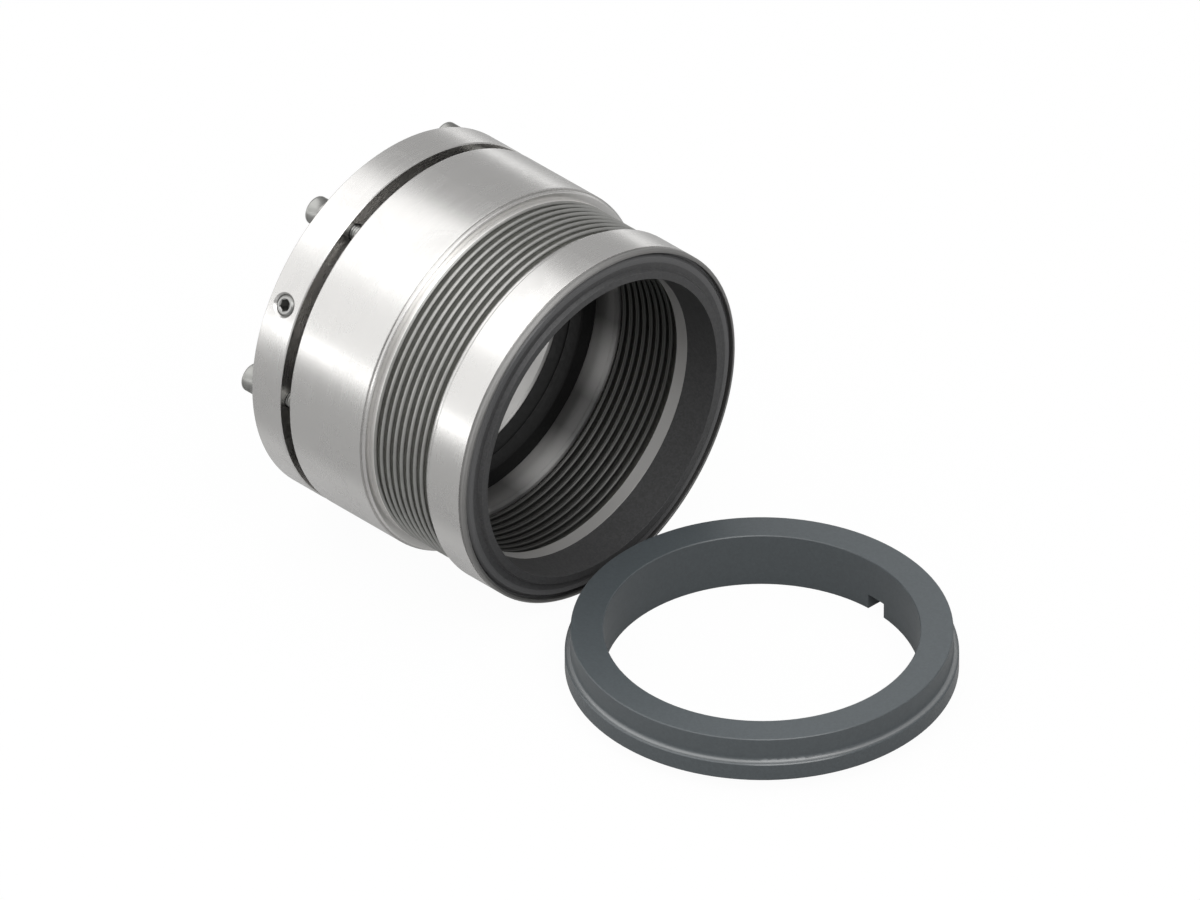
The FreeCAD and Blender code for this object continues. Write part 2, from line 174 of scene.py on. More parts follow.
class SealFinishes(bpy.types.PropertyGroup):
    """Colours of the seal's materials."""

    steel: colour("Steel", "Turned and polished stainless steel", (0.71, 0.70, 0.685))
    screws: colour("Cap screws", "Plain stainless cap screws", (0.40, 0.40, 0.385))
    set_screws: colour("Set screws", "Plain stainless set screws", (0.42, 0.42, 0.41))
    bellows: colour("Bellows", "Thin nickel alloy plate", (0.40, 0.40, 0.385))
    carbon: colour("Carbon", "Turned carbon", (0.055, 0.055, 0.056))
    graphite: colour("Graphite", "Pressed graphite packing", (0.006, 0.006, 0.006))
    ceramic: colour("Mating ring", "Ground silicon carbide", (0.068, 0.081, 0.088))
    # A painted highlight along the fillet beside the mating ring's nose
    fillet_highlight: colour("Painted fillet highlight", "The fillet beside the mating ring's nose", (0.2, 0.21, 0.215))


class SealStage(bpy.types.PropertyGroup):
    """The studio and the camera."""

    azimuth: degrees("Azimuth", "The camera's place round the seal, from -Y towards +X", 44.62)
    elevation: degrees("Elevation", "The camera's height over the horizon", 35.31)
    lens: bpy.props.FloatProperty(
        name="Lens", description="Focal length in millimetres on a 36 mm sensor", default=1000, min=50)
    distance: length("Distance", "From the camera to the point that it looks at", 6.028)
    target: bpy.props.FloatVectorProperty(
        name="Target", description="The point in the middle of the picture", size=3,
        default=(54.31 * MM, -1.18 * MM, -4.0 * MM), subtype="TRANSLATION")
    floor_colour: colour("Floor", "Pale floor", (0.38, 0.38, 0.38))
    floor_white: share("White floor", "How white the floor is to the camera", 0.92)
    near_white: share("Near white", "How white steel mirrors the floor near the seal", 0.05)
    far_start: length("Far white from", "Where the mirrored floor starts to turn white", 0.15)
    far_full: length("Far white at", "Where the mirrored floor is wholly white", 0.75)
    # The strip is a painted reflection: under the head the floor glows white to reflections only
    strip_white: share("Strip's white", "How white steel mirrors the strip under the head", 0.3)
    strip_side: length("Strip's side", "Half of the strip's full width", 40.0 * MM)
    strip_side_end: length("Strip's side end", "Where the strip has faded sideways", 51.0 * MM)
    strip_front: length("Strip's front", "Where the strip starts to fade towards the ring", 52.0 * MM)
    strip_front_end: length("Strip's front end", "Where the strip has faded towards the ring", 60.0 * MM)
    ambient: share("Ambient", "Strength of the light from all round", 0.42)
    mirrored_white: share("Mirrored white", "How white steel mirrors the surroundings", 0.05)


# Meshes


def ring_radius(form, radius, angle, station, screws):
    """How far the skin is from a screw's own axis at an angle, for a round, hexagonal or ridged form."""
    if form == "hexagon":
        away = (angle + math.pi / 6) % (math.pi / 3) - math.pi / 6
        return radius / math.cos(away)
    if form == "knurl":
        return radius - screws.knurl_depth * (0.5 + 0.5 * math.cos(angle * screws.knurls))
    if form == "thread":
        turn = (station / screws.cap_pitch - angle / math.tau) % 1.0
        return radius - 0.5 * screws.cap_pitch * abs(turn - 0.5)
    return radius


def lathe(name, outline, segments, screws=None):
    """A skin turned on X from rows of (station, radius, form). A radius of 0 closes it with a pole."""
    mesh = bmesh.new()
    rings = []
    for station, radius, form in outline:
        if radius == 0:
            rings.append([mesh.verts.new((station, 0, 0))])
            continue
        ring = []
        for step in range(segments):
            angle = math.tau * step / segments
            reach = ring_radius(form, radius, angle, station, screws)
            ring.append(mesh.verts.new((station, reach * math.cos(angle), reach * math.sin(angle))))
        rings.append(ring)
    for before, after in zip(rings, rings[1:]):
        join_rings(mesh, before, after, segments)
    bmesh.ops.recalc_face_normals(mesh, faces=mesh.faces)
    return mesh_object(name, mesh)


def join_rings(mesh, before, after, segments):
    """Faces between two rings, of which one may be a pole."""
    for step in range(segments):
        following = (step + 1) % segments
        if len(before) == 1:
            corners = (before[0], after[step], after[following])
        elif len(after) == 1:
            corners = (before[step], before[following], after[0])
        else:
            corners = (before[step], before[following], after[following], after[step])
        mesh.faces.new(corners)


def mesh_object(name, mesh):
    """An object at the origin that holds a finished mesh."""
    data = bpy.data.meshes.new(name)
    mesh.to_mesh(data)
    mesh.free()
    made = bpy.data.objects.new(name, data)
    bpy.context.scene.collection.objects.link(made)
    return made


def smooth(piece, sharp_degrees=35):
    """Smooth shading that keeps the edges which turn by more than an angle."""
    piece.data.shade_smooth()
    piece.data.set_sharp_from_angle(angle=math.radians(sharp_degrees))


def arc(middle, radius, start, end, steps):
    """Points of (station, radius) round a middle, from one angle to another, in degrees."""
    points = []
    for step in range(steps + 1):
        turn = math.radians(start + (end - start) * step / steps)
        points.append((middle[0] + radius * math.cos(turn), middle[1] + radius * math.sin(turn)))
    return points


# Geometry node trees


def node_tree(name, kind, inputs, outputs):
    """An empty node tree with its named sockets. Each is a title, a type and a default or None."""
    tree = bpy.data.node_groups.new(name, kind)
    for direction, rows in (("INPUT", inputs), ("OUTPUT", outputs)):
        for title, socket_type, default in rows:
            socket = tree.interface.new_socket(title, in_out=direction, socket_type=socket_type)
            if default is not None:
                socket.default_value = default
    return tree


def add(tree, kind, links=None, **settings):
    """A new node. Links map an input's name or number to a value or to another node's output."""
    node = tree.nodes.new(kind)
    for name, value in settings.items():
        setattr(node, name, value)
    for key, value in (links or {}).items():
        if isinstance(value, bpy.types.NodeSocket):
            tree.links.new(value, node.inputs[key])
        else:
            node.inputs[key].default_value = value
    return node


def calculate(tree, operation, *values, use_clamp=False):
    """The result of a sum on values or on other nodes' outputs."""
    links = dict(enumerate(values))
    return add(tree, "ShaderNodeMath", links, operation=operation, use_clamp=use_clamp).outputs[0]


def from_shaft(tree, vector):
    """The separate parts of a place, and its distance from the shaft's axis."""
    parts = add(tree, "ShaderNodeSeparateXYZ", {0: vector}).outputs
    flat = add(tree, "ShaderNodeCombineXYZ", {"Y": parts["Y"], "Z": parts["Z"]}).outputs[0]
    radius = add(tree, "ShaderNodeVectorMath", {0: flat}, operation="LENGTH").outputs["Value"]
    return parts, radius


def repeat_along_shaft():
    """A tree that repeats one convolution along the shaft and joins the repeats into one skin."""
    tree = node_tree("Repeat along shaft", "GeometryNodeTree", [
        ("Geometry", "NodeSocketGeometry", None),
        ("Count", "NodeSocketInt", 8),
        ("Pitch", "NodeSocketFloat", 0.0),
        ("Start", "NodeSocketFloat", 0.0),
        ("Join distance", "NodeSocketFloat", 0.01 * MM),
        ("Material", "NodeSocketMaterial", None),
    ], [("Geometry", "NodeSocketGeometry", None)])
    given = add(tree, "NodeGroupInput").outputs
    step = add(tree, "ShaderNodeCombineXYZ", {"X": given["Pitch"]}).outputs[0]
    first = add(tree, "ShaderNodeCombineXYZ", {"X": given["Start"]}).outputs[0]
    line = add(tree, "GeometryNodeMeshLine", {
        "Count": given["Count"], "Start Location": first, "Offset": step}, mode="OFFSET")
    copies = add(tree, "GeometryNodeInstanceOnPoints", {
        "Points": line.outputs[0], "Instance": given["Geometry"]})
    real = add(tree, "GeometryNodeRealizeInstances", {"Geometry": copies.outputs[0]})
    joined = add(tree, "GeometryNodeMergeByDistance", {
        "Geometry": real.outputs[0], "Distance": given["Join distance"]})
    finished = add(tree, "GeometryNodeSetMaterial", {
        "Geometry": joined.outputs[0], "Material": given["Material"]})
    add(tree, "NodeGroupOutput", {0: finished.outputs[0]})
    return tree


def repeat_round_shaft():
    """A tree that sets copies of one screw on a circle round the shaft, each turned with its angle."""
    tree = node_tree("Repeat round shaft", "GeometryNodeTree", [
        ("Geometry", "NodeSocketGeometry", None),
        ("Count", "NodeSocketInt", 6),
        ("First angle", "NodeSocketFloat", 0.0),
        ("Radius", "NodeSocketFloat", 0.0),
        ("Station", "NodeSocketFloat", 0.0),
        ("Material", "NodeSocketMaterial", None),
    ], [("Geometry", "NodeSocketGeometry", None)])
    given = add(tree, "NodeGroupInput").outputs
    place = add(tree, "ShaderNodeCombineXYZ", {"X": given["Station"], "Y": given["Radius"]}).outputs[0]
    placed = add(tree, "GeometryNodeTransform", {"Geometry": given["Geometry"], "Translation": place})
    points = add(tree, "GeometryNodeMeshLine", {
        "Count": given["Count"], "Offset": (0.0, 0.0, 0.0)}, mode="OFFSET")
    share_of_turn = calculate(tree, "DIVIDE", math.tau, given["Count"])
    index = add(tree, "GeometryNodeInputIndex").outputs[0]
    turn = calculate(tree, "MULTIPLY_ADD", index, share_of_turn, given["First angle"])
    rotation = add(tree, "ShaderNodeCombineXYZ", {"X": turn}).outputs[0]
    copies = add(tree, "GeometryNodeInstanceOnPoints", {
        "Points": points.outputs[0], "Instance": placed.outputs[0], "Rotation": rotation})
    real = add(tree, "GeometryNodeRealizeInstances", {"Geometry": copies.outputs[0]})
    finished = add(tree, "GeometryNodeSetMaterial", {
        "Geometry": real.outputs[0], "Material": given["Material"]})
    add(tree, "NodeGroupOutput", {0: finished.outputs[0]})
    return tree


def grow(piece, tree, values):
    """Runs a geometry tree on a piece with named values, and leaves it as a plain mesh."""
    modifier = piece.modifiers.new(tree.name, "NODES")
    modifier.node_group = tree
    for item in tree.interface.items_tree:
        if item.in_out == "INPUT" and item.name in values:
            modifier[item.identifier] = values[item.name]
    evaluated = piece.evaluated_get(bpy.context.evaluated_depsgraph_get())
    plain = bpy.data.meshes.new_from_object(evaluated)
    piece.modifiers.remove(modifier)
    piece.data = plain
    return piece


# Shader groups


def turned_lines_group():
    """Fine rings left by the lathe round X: across the faces by radius, along the sides by station."""
    tree = node_tree("Turned lines", "ShaderNodeTree", [
        ("Vector", "NodeSocketVector", None),
        ("Lines per metre", "NodeSocketFloat", 3000.0),
    ], [("Mask", "NodeSocketFloat", None)])
    given = add(tree, "NodeGroupInput").outputs
    parts, radius = from_shaft(tree, given["Vector"])
    place = add(tree, "ShaderNodeCombineXYZ", {"X": parts["X"], "Y": radius}).outputs[0]
    noise = add(tree, "ShaderNodeTexNoise", {
        "Vector": place, "Scale": given["Lines per metre"], "Detail": 3.0, "Roughness": 0.6})
    add(tree, "NodeGroupOutput", {0: noise.outputs["Fac"]})
    return tree


def handling_group():
    """Soft smears and cloudy patches left by hands and wiping."""
    tree = node_tree("Handling marks", "ShaderNodeTree", [
        ("Vector", "NodeSocketVector", None),
        ("Patches per metre", "NodeSocketFloat", 90.0),
    ], [("Mask", "NodeSocketFloat", None)])
    given = add(tree, "NodeGroupInput").outputs
    cloud = add(tree, "ShaderNodeTexNoise", {
        "Vector": given["Vector"], "Scale": given["Patches per metre"], "Detail": 5.0,
        "Roughness": 0.65, "Distortion": 0.8})
    mask = add(tree, "ShaderNodeMapRange", {
        "Value": cloud.outputs["Fac"], "From Min": 0.42, "From Max": 0.72},
        interpolation_type="SMOOTHSTEP").outputs[0]
    add(tree, "NodeGroupOutput", {0: mask})
    return tree


def edge_group():
    """A mask along every edge, and a normal that rounds every edge a little."""
    tree = node_tree("Edge mask", "ShaderNodeTree", [
        ("Rounding", "NodeSocketFloat", 0.08 * MM),
        ("Spread", "NodeSocketFloat", 0.35),
    ], [("Mask", "NodeSocketFloat", None), ("Normal", "NodeSocketVector", None)])
    given = add(tree, "NodeGroupInput").outputs
    rounded = add(tree, "ShaderNodeBevel", {"Radius": given["Rounding"]}, samples=4).outputs[0]
    plain = add(tree, "ShaderNodeNewGeometry").outputs["Normal"]
    likeness = add(tree, "ShaderNodeVectorMath", {
        0: rounded, 1: plain}, operation="DOT_PRODUCT").outputs["Value"]
    worn = calculate(tree, "SUBTRACT", 1.0, likeness)
    mask = calculate(tree, "DIVIDE", worn, given["Spread"], use_clamp=True)
    add(tree, "NodeGroupOutput", {0: mask, 1: rounded})
    return tree


def recess_shade_group():
    """Painted shade in narrow gaps, grooves and inner corners, where ambient occlusion finds that little
    light reaches.
    """
    tree = node_tree("Recess painted shade", "ShaderNodeTree", [
        ("Reach", "NodeSocketFloat", 1.2 * MM),
        ("Strength", "NodeSocketFloat", 0.45),
    ], [("Mask", "NodeSocketFloat", None)])
    given = add(tree, "NodeGroupInput").outputs
    seen = add(tree, "ShaderNodeAmbientOcclusion", {"Distance": given["Reach"]}, samples=8).outputs["AO"]
    closed = calculate(tree, "SUBTRACT", 1.0, seen)
    mask = calculate(tree, "MULTIPLY", closed, given["Strength"])
    add(tree, "NodeGroupOutput", {0: mask})
    return tree


def bore_group():
    """1 inside a radius round the shaft and 0 outside it, with a short run between."""
    tree = node_tree("Inside the bore", "ShaderNodeTree", [
        ("Vector", "NodeSocketVector", None),
        ("Radius", "NodeSocketFloat", 0.0),
        ("Run", "NodeSocketFloat", 0.3 * MM),
    ], [("Mask", "NodeSocketFloat", None)])
    given = add(tree, "NodeGroupInput").outputs
    radius = from_shaft(tree, given["Vector"])[1]
    past = calculate(tree, "SUBTRACT", given["Radius"], radius)
    mask = calculate(tree, "DIVIDE", past, given["Run"], use_clamp=True)
    add(tree, "NodeGroupOutput", {0: mask})
    return tree


def painted_streaks_group():
    """Soft streaks of painted shade along the shaft inside a bore, evenly spaced round it, the first at +Y,
    with a painted sheen left between them.
    """
    tree = node_tree("Painted streaks in the bore", "ShaderNodeTree", [
        ("Vector", "NodeSocketVector", None),
        ("Radius", "NodeSocketFloat", 0.0),
        ("Streaks", "NodeSocketFloat", 8.0),
    ], [("Mask", "NodeSocketFloat", None)])
    given = add(tree, "NodeGroupInput").outputs
    parts, radius = from_shaft(tree, given["Vector"])
    angle = calculate(tree, "ARCTAN2", parts["Z"], parts["Y"])
    turns = calculate(tree, "MULTIPLY", angle, given["Streaks"])
    wave = calculate(tree, "COSINE", turns)
    streaks = add(tree, "ShaderNodeMapRange", {"Value": wave, "From Min": -1.0, "From Max": 0.6}).outputs[0]
    inside = calculate(tree, "LESS_THAN", radius, given["Radius"])
    mask = calculate(tree, "MULTIPLY", streaks, inside)
    add(tree, "NodeGroupOutput", {0: mask})
    return tree


def station_group():
    """0 behind a station along the shaft and 1 ahead of it, with a short run between."""
    tree = node_tree("Ahead of a station", "ShaderNodeTree", [
        ("Vector", "NodeSocketVector", None),
        ("Station", "NodeSocketFloat", 0.0),
        ("Run", "NodeSocketFloat", 0.1 * MM),
    ], [("Mask", "NodeSocketFloat", None)])
    given = add(tree, "NodeGroupInput").outputs
    along = add(tree, "ShaderNodeSeparateXYZ", {0: given["Vector"]}).outputs["X"]
    past = calculate(tree, "SUBTRACT", along, given["Station"])
    mask = calculate(tree, "DIVIDE", past, given["Run"], use_clamp=True)
    add(tree, "NodeGroupOutput", {0: mask})
    return tree


def grain_group():
    """Specks of a pressed or sintered grain."""
    tree = node_tree("Grain", "ShaderNodeTree", [
        ("Vector", "NodeSocketVector", None),
        ("Grains per metre", "NodeSocketFloat", 2600.0),
    ], [("Mask", "NodeSocketFloat", None), ("Height", "NodeSocketFloat", None)])
    given = add(tree, "NodeGroupInput").outputs
    cells = add(tree, "ShaderNodeTexVoronoi", {
        "Vector": given["Vector"], "Scale": given["Grains per metre"]}).outputs
    tone = add(tree, "ShaderNodeSeparateColor", {0: cells["Color"]}).outputs[0]
    add(tree, "NodeGroupOutput", {0: tone, 1: cells["Distance"]})
    return tree


class Finish:
    """One material, built up from its shader, its coordinates and the shared groups."""

    groups = {}

    def __init__(self, name, base, metallic, roughness):
        self.material = bpy.data.materials.new(name)
        self.material.use_nodes = True
        self.tree = self.material.node_tree
        self.shader = self.tree.nodes["Principled BSDF"]
        self.base = base
        self.shader.inputs["Base Color"].default_value = (*base, 1.0)
        self.shader.inputs["Metallic"].default_value = metallic
        self.shader.inputs["Roughness"].default_value = roughness
        self.place = add(self.tree, "ShaderNodeTexCoord").outputs["Object"]

    def group(self, maker, **values):
        """A shared group's outputs, with this material's own values on its inputs."""
        if maker.__name__ not in self.groups:
            self.groups[maker.__name__] = maker()
        node = self.tree.nodes.new("ShaderNodeGroup")
        node.node_tree = self.groups[maker.__name__]
        if "Vector" in node.inputs:
            self.tree.links.new(self.place, node.inputs["Vector"])
        for name, value in values.items():
            node.inputs[name.replace("_", " ")].default_value = value
        return node.outputs

    def between(self, mask, low, high):
        """A value that runs from low to high with a mask."""
        return add(self.tree, "ShaderNodeMapRange", {
            "Value": mask, "To Min": low, "To Max": high}).outputs[0]

    def sum(self, one, other):
        """Two values added up."""
        return calculate(self.tree, "ADD", one, other)

    def mix(self, mask, one, other):
        """One colour where the mask is 0 and another where it is 1."""
        node = add(self.tree, "ShaderNodeMix", data_type="RGBA")
        for index, value in ((0, mask), (6, one), (7, other)):
            if isinstance(value, bpy.types.NodeSocket):
                self.tree.links.new(value, node.inputs[index])
            else:
                node.inputs[index].default_value = (*value, 1.0)
        return node.outputs[2]

    def tint(self, factor):
        """The base colour made lighter or darker."""
        return tuple(min(1.0, part * factor) for part in self.base)

    def relief(self, height, depth, normal=None):
        """A bump of some depth in metres, over a normal if one is given."""
        bump = add(self.tree, "ShaderNodeBump", {"Height": height, "Distance": depth})
        if normal:
            self.tree.links.new(normal, bump.inputs["Normal"])
        return bump.outputs[0]

    def feed(self, socket, source):
        """Links an output to one of the shader's own sockets."""
        self.tree.links.new(source, self.shader.inputs[socket])


# A part of a piece with a finish of its own, whose tint is painted shade or painted light: the group that
# masks it and the group's values, then its tint, its added roughness and how far it looks matt instead of
# like metal
Zone = namedtuple("Zone", "maker values tint dulled matt", defaults=(0.0, 0.0))

# Tints of the base colour under smears, on edges (lighter: partly wear, partly a painted highlight) and in
# recesses (darker: painted shade), and how much smears dull the sheen
SMEARED = 0.95
EDGE_WEAR_AND_HIGHLIGHT = 1.12
RECESS_SHADE_TINT = 0.1
SMEAR_DULLS = 0.06

# Depth of the rings that the lathe leaves in metal
LATHE_RELIEF = 0.002 * MM


def machined_metal(name, base, low, high, lines_per_metre, zones=(), rounding=0.08 * MM, painted_recess_shade=0.45):
    """A turned metal: rings of the lathe in its sheen and relief, smears, painted shade in recesses, edges
    lighter with wear and a painted highlight, and zones toned with painted shade or light.
    """
    finish = Finish(name, base, 1.0, low)
    lines = finish.group(turned_lines_group, Lines_per_metre=lines_per_metre)
    smears = finish.group(handling_group)
    edge = finish.group(edge_group, Rounding=rounding)
    recess = finish.group(recess_shade_group, Strength=painted_recess_shade)
    sheen = finish.sum(
        finish.between(lines["Mask"], low, high), finish.between(smears["Mask"], 0.0, SMEAR_DULLS))
    clouded = finish.mix(smears["Mask"], base, finish.tint(SMEARED))
    # Edges lighter: partly wear, partly a painted highlight
    tone = finish.mix(edge["Mask"], clouded, finish.tint(EDGE_WEAR_AND_HIGHLIGHT))
    # Each zone's tint paints shade or light on its part
    for zone in zones:
        mask = finish.group(zone.maker, **zone.values)["Mask"]
        sheen = finish.sum(sheen, finish.between(mask, 0.0, zone.dulled))
        tone = finish.mix(mask, tone, finish.tint(zone.tint))
        if zone.matt:
            finish.feed("Metallic", finish.between(mask, 1.0, 1.0 - zone.matt))
    finish.feed("Roughness", sheen)
    # Painted shade in recesses darkens the colour
    finish.feed("Base Color", finish.mix(recess["Mask"], tone, finish.tint(RECESS_SHADE_TINT)))
    finish.feed("Normal", finish.relief(lines["Mask"], LATHE_RELIEF, edge["Normal"]))
    return finish.material


def put_on(piece, material):
    """One material all over a piece."""
    piece.data.materials.clear()
    piece.data.materials.append(material)


# The pieces


class SEAL_OT_steel(bpy.types.Operator):
    """Turned stainless steel on the drive collar, the bellows adapter and the face holder"""

    bl_idname = "seal.steel"
    bl_label = "Collar, adapter and holder"

    def execute(self, context):
        base = context.scene.seal_finishes.steel
        sizes = context.scene.seal_faces
        weld_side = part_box("bellows_adapter")[1].x - sizes.weld_side
        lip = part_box("face_holder")[1].x - sizes.lip
        rows = (
            ("drive_collar", 0.08 * MM, [
                # Painted shade: the collar's bore darker
                Zone(bore_group, {"Radius": sizes.collar_bore}, tint=0.5, dulled=0.12)]),
            ("bellows_adapter", 0.3 * MM, [
                # Painted light: a lighter band on the adapter beside the bellows
                Zone(station_group, {"Station": weld_side}, tint=1.35, dulled=0.15),
                # Painted shade: the adapter's throat darker, and matt
                Zone(bore_group, {"Radius": sizes.throat}, tint=0.58, dulled=0.10, matt=1.0),
                # Painted shade in streaks round the throat, a painted sheen between them
                Zone(painted_streaks_group, {"Radius": sizes.throat}, tint=0.15)]),
            ("face_holder", 0.25 * MM, [
                # Painted shade: the holder's lip darker, and rougher
                Zone(station_group, {"Station": lip}, tint=0.45, dulled=0.3),
                # Painted shade: the holder's bore darker, and partly matt
                Zone(bore_group, {"Radius": sizes.holder_bore}, tint=0.62, dulled=0.15, matt=0.6)]),
        )
        for name, rounding, zones in rows:
            steel = machined_metal("Turned steel of " + name, base, 0.20, 0.30, 2600.0, zones, rounding)
            put_on(NODES[name], steel)
        return {"FINISHED"}


class SEAL_OT_bellows(bpy.types.Operator):
    """The welded bellows: one convolution, repeated along the shaft"""

    bl_idname = "seal.bellows"
    bl_label = "Welded bellows"

    def execute(self, context):
        sizes = context.scene.seal_bellows
        pitch = (BELLOWS_END - BELLOWS_START) / sizes.convolutions
        cell = self.convolution(sizes, pitch)
        bellows = grow(cell, repeat_along_shaft(), {
            "Count": sizes.convolutions, "Pitch": pitch, "Start": BELLOWS_START})
        self.close_ends(bellows)
        smooth(bellows, sharp_degrees=50)
        put_on(bellows, self.finish(sizes, context.scene.seal_finishes.bellows))
        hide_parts(*DIAPHRAGMS)
        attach(bellows, "adapter")
        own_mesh(bellows)
        return {"FINISHED"}

    def convolution(self, sizes, pitch):
        """Two diaphragms from one outer weld to the next, open where the next pair joins on."""
        outer = BELLOWS_RADIUS
        inner = outer - sizes.span
        plate, bead, margin = sizes.plate, sizes.bead, sizes.margin
        neck = math.degrees(math.acos(plate / bead))
        outside = arc((0, outer - bead), bead, 90, -neck, 6)
        outside += [(plate, outer - margin), (pitch / 2, inner + margin)]
        inside = [(0, outer - margin), (pitch / 2 - plate, inner + margin)]
        inside += arc((pitch / 2, inner + bead), bead, 180 - neck, 270, 6)
        mesh = bmesh.new()
        for half in (outside, inside):
            mirrored = [(pitch - x, r) for x, r in reversed(half)]
            whole = half + mirrored[1:]
            rings = []
            for station, radius in whole:
                turns = [math.tau * step / sizes.segments for step in range(sizes.segments)]
                rings.append([
                    mesh.verts.new((station, radius * math.cos(turn), radius * math.sin(turn)))
                    for turn in turns])
            for before, after in zip(rings, rings[1:]):
                join_rings(mesh, before, after, sizes.segments)
        return mesh_object("bellows_welded", mesh)

    def close_ends(self, bellows):
        """Flat rings at both ends, where the bellows is welded to its neighbours."""
        mesh = bmesh.new()
        mesh.from_mesh(bellows.data)
        for station in (BELLOWS_START, BELLOWS_END):
            rim = [
                corner for corner in mesh.verts
                if corner.is_boundary and abs(corner.co.x - station) < 0.1 * MM]
            rim.sort(key=lambda corner: corner.co.yz.length)
            half = len(rim) // 2
            rings = [
                sorted(ring, key=lambda corner: math.atan2(*corner.co.yz))
                for ring in (rim[:half], rim[half:])]
            join_rings(mesh, *rings, half)
        bmesh.ops.recalc_face_normals(mesh, faces=mesh.faces)
        mesh.to_mesh(bellows.data)
        mesh.free()

    def finish(self, sizes, base):
        """Thin plate with fine rings, flanks lighter with painted light and inner edges darker with painted
        shade.
        """
        finish = Finish("Bellows alloy", base, 1.0, 0.45)
        lines = finish.group(turned_lines_group, Lines_per_metre=5200.0)
        smears = finish.group(handling_group, Patches_per_metre=160.0)
        flank = finish.group(bore_group, Radius=sizes.flank, Run=0.2 * MM)
        inside = finish.group(bore_group, Radius=sizes.inside, Run=1.0 * MM)
        finish.feed("Roughness", finish.between(lines["Mask"], 0.42, 0.56))
        clouded = finish.mix(smears["Mask"], base, finish.tint(0.85))
        # Painted light on the flanks
        lighter = finish.mix(flank["Mask"], clouded, finish.tint(1.6))
        # Painted shade on the inner edges
        finish.feed("Base Color", finish.mix(inside["Mask"], lighter, finish.tint(0.3)))
        finish.feed("Normal", finish.relief(lines["Mask"], 0.003 * MM))
        return finish.material


class SEAL_OT_packing(bpy.types.Operator):
    """The two graphite packing rings, pressed square with softened corners"""

    bl_idname = "seal.packing"
    bl_label = "Graphite packing"

    def execute(self, context):
        material = self.finish(context.scene.seal_finishes.graphite)
        for number, node in enumerate(PACKING_RINGS, 1):
            low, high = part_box(node)
            ring = self.ring("packing_graphite_%d" % number, low.x, high.x)
            smooth(ring)
            put_on(ring, material)
            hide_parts(node)
            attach(ring, "adapter")
            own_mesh(ring)
        return {"FINISHED"}

    def ring(self, name, back, front):
        """One ring with round corners of its own, a hair's breadth inside its room."""
        corner = 0.3 * MM
        wall = 4.4 * MM
        bore = PACKING_RADIUS - wall
        outline = []
        corners = (
            (back + corner, PACKING_RADIUS - corner, 180),
            (front - corner, PACKING_RADIUS - corner, 90),
            (front - corner, bore + corner, 0),
            (back + corner, bore + corner, -90),
        )
        for station, radius, start in corners:
            outline += arc((station, radius), corner, start, start - 90, 4)
        outline.append(outline[0])
        ring = lathe(name, [(station, radius, "round") for station, radius in outline], 144)
        mesh = bmesh.new()
        mesh.from_mesh(ring.data)
        bmesh.ops.remove_doubles(mesh, verts=mesh.verts, dist=0.001 * MM)
        bmesh.ops.recalc_face_normals(mesh, faces=mesh.faces)
        mesh.to_mesh(ring.data)
        mesh.free()
        return ring

    def finish(self, base):
        """Dull black with a pressed grain."""
        finish = Finish("Pressed graphite", base, 0.0, 0.6)
        finish.shader.inputs["Specular IOR Level"].default_value = 0.25
        grain = finish.group(grain_group, Grains_per_metre=1800.0)
        lines = finish.group(turned_lines_group, Lines_per_metre=1500.0)
        finish.feed("Base Color", finish.mix(grain["Mask"], base, finish.tint(1.7)))
        finish.feed("Roughness", finish.between(grain["Mask"], 0.5, 0.7))
        finish.feed("Normal", finish.relief(lines["Mask"], 0.02 * MM))
        return finish.material


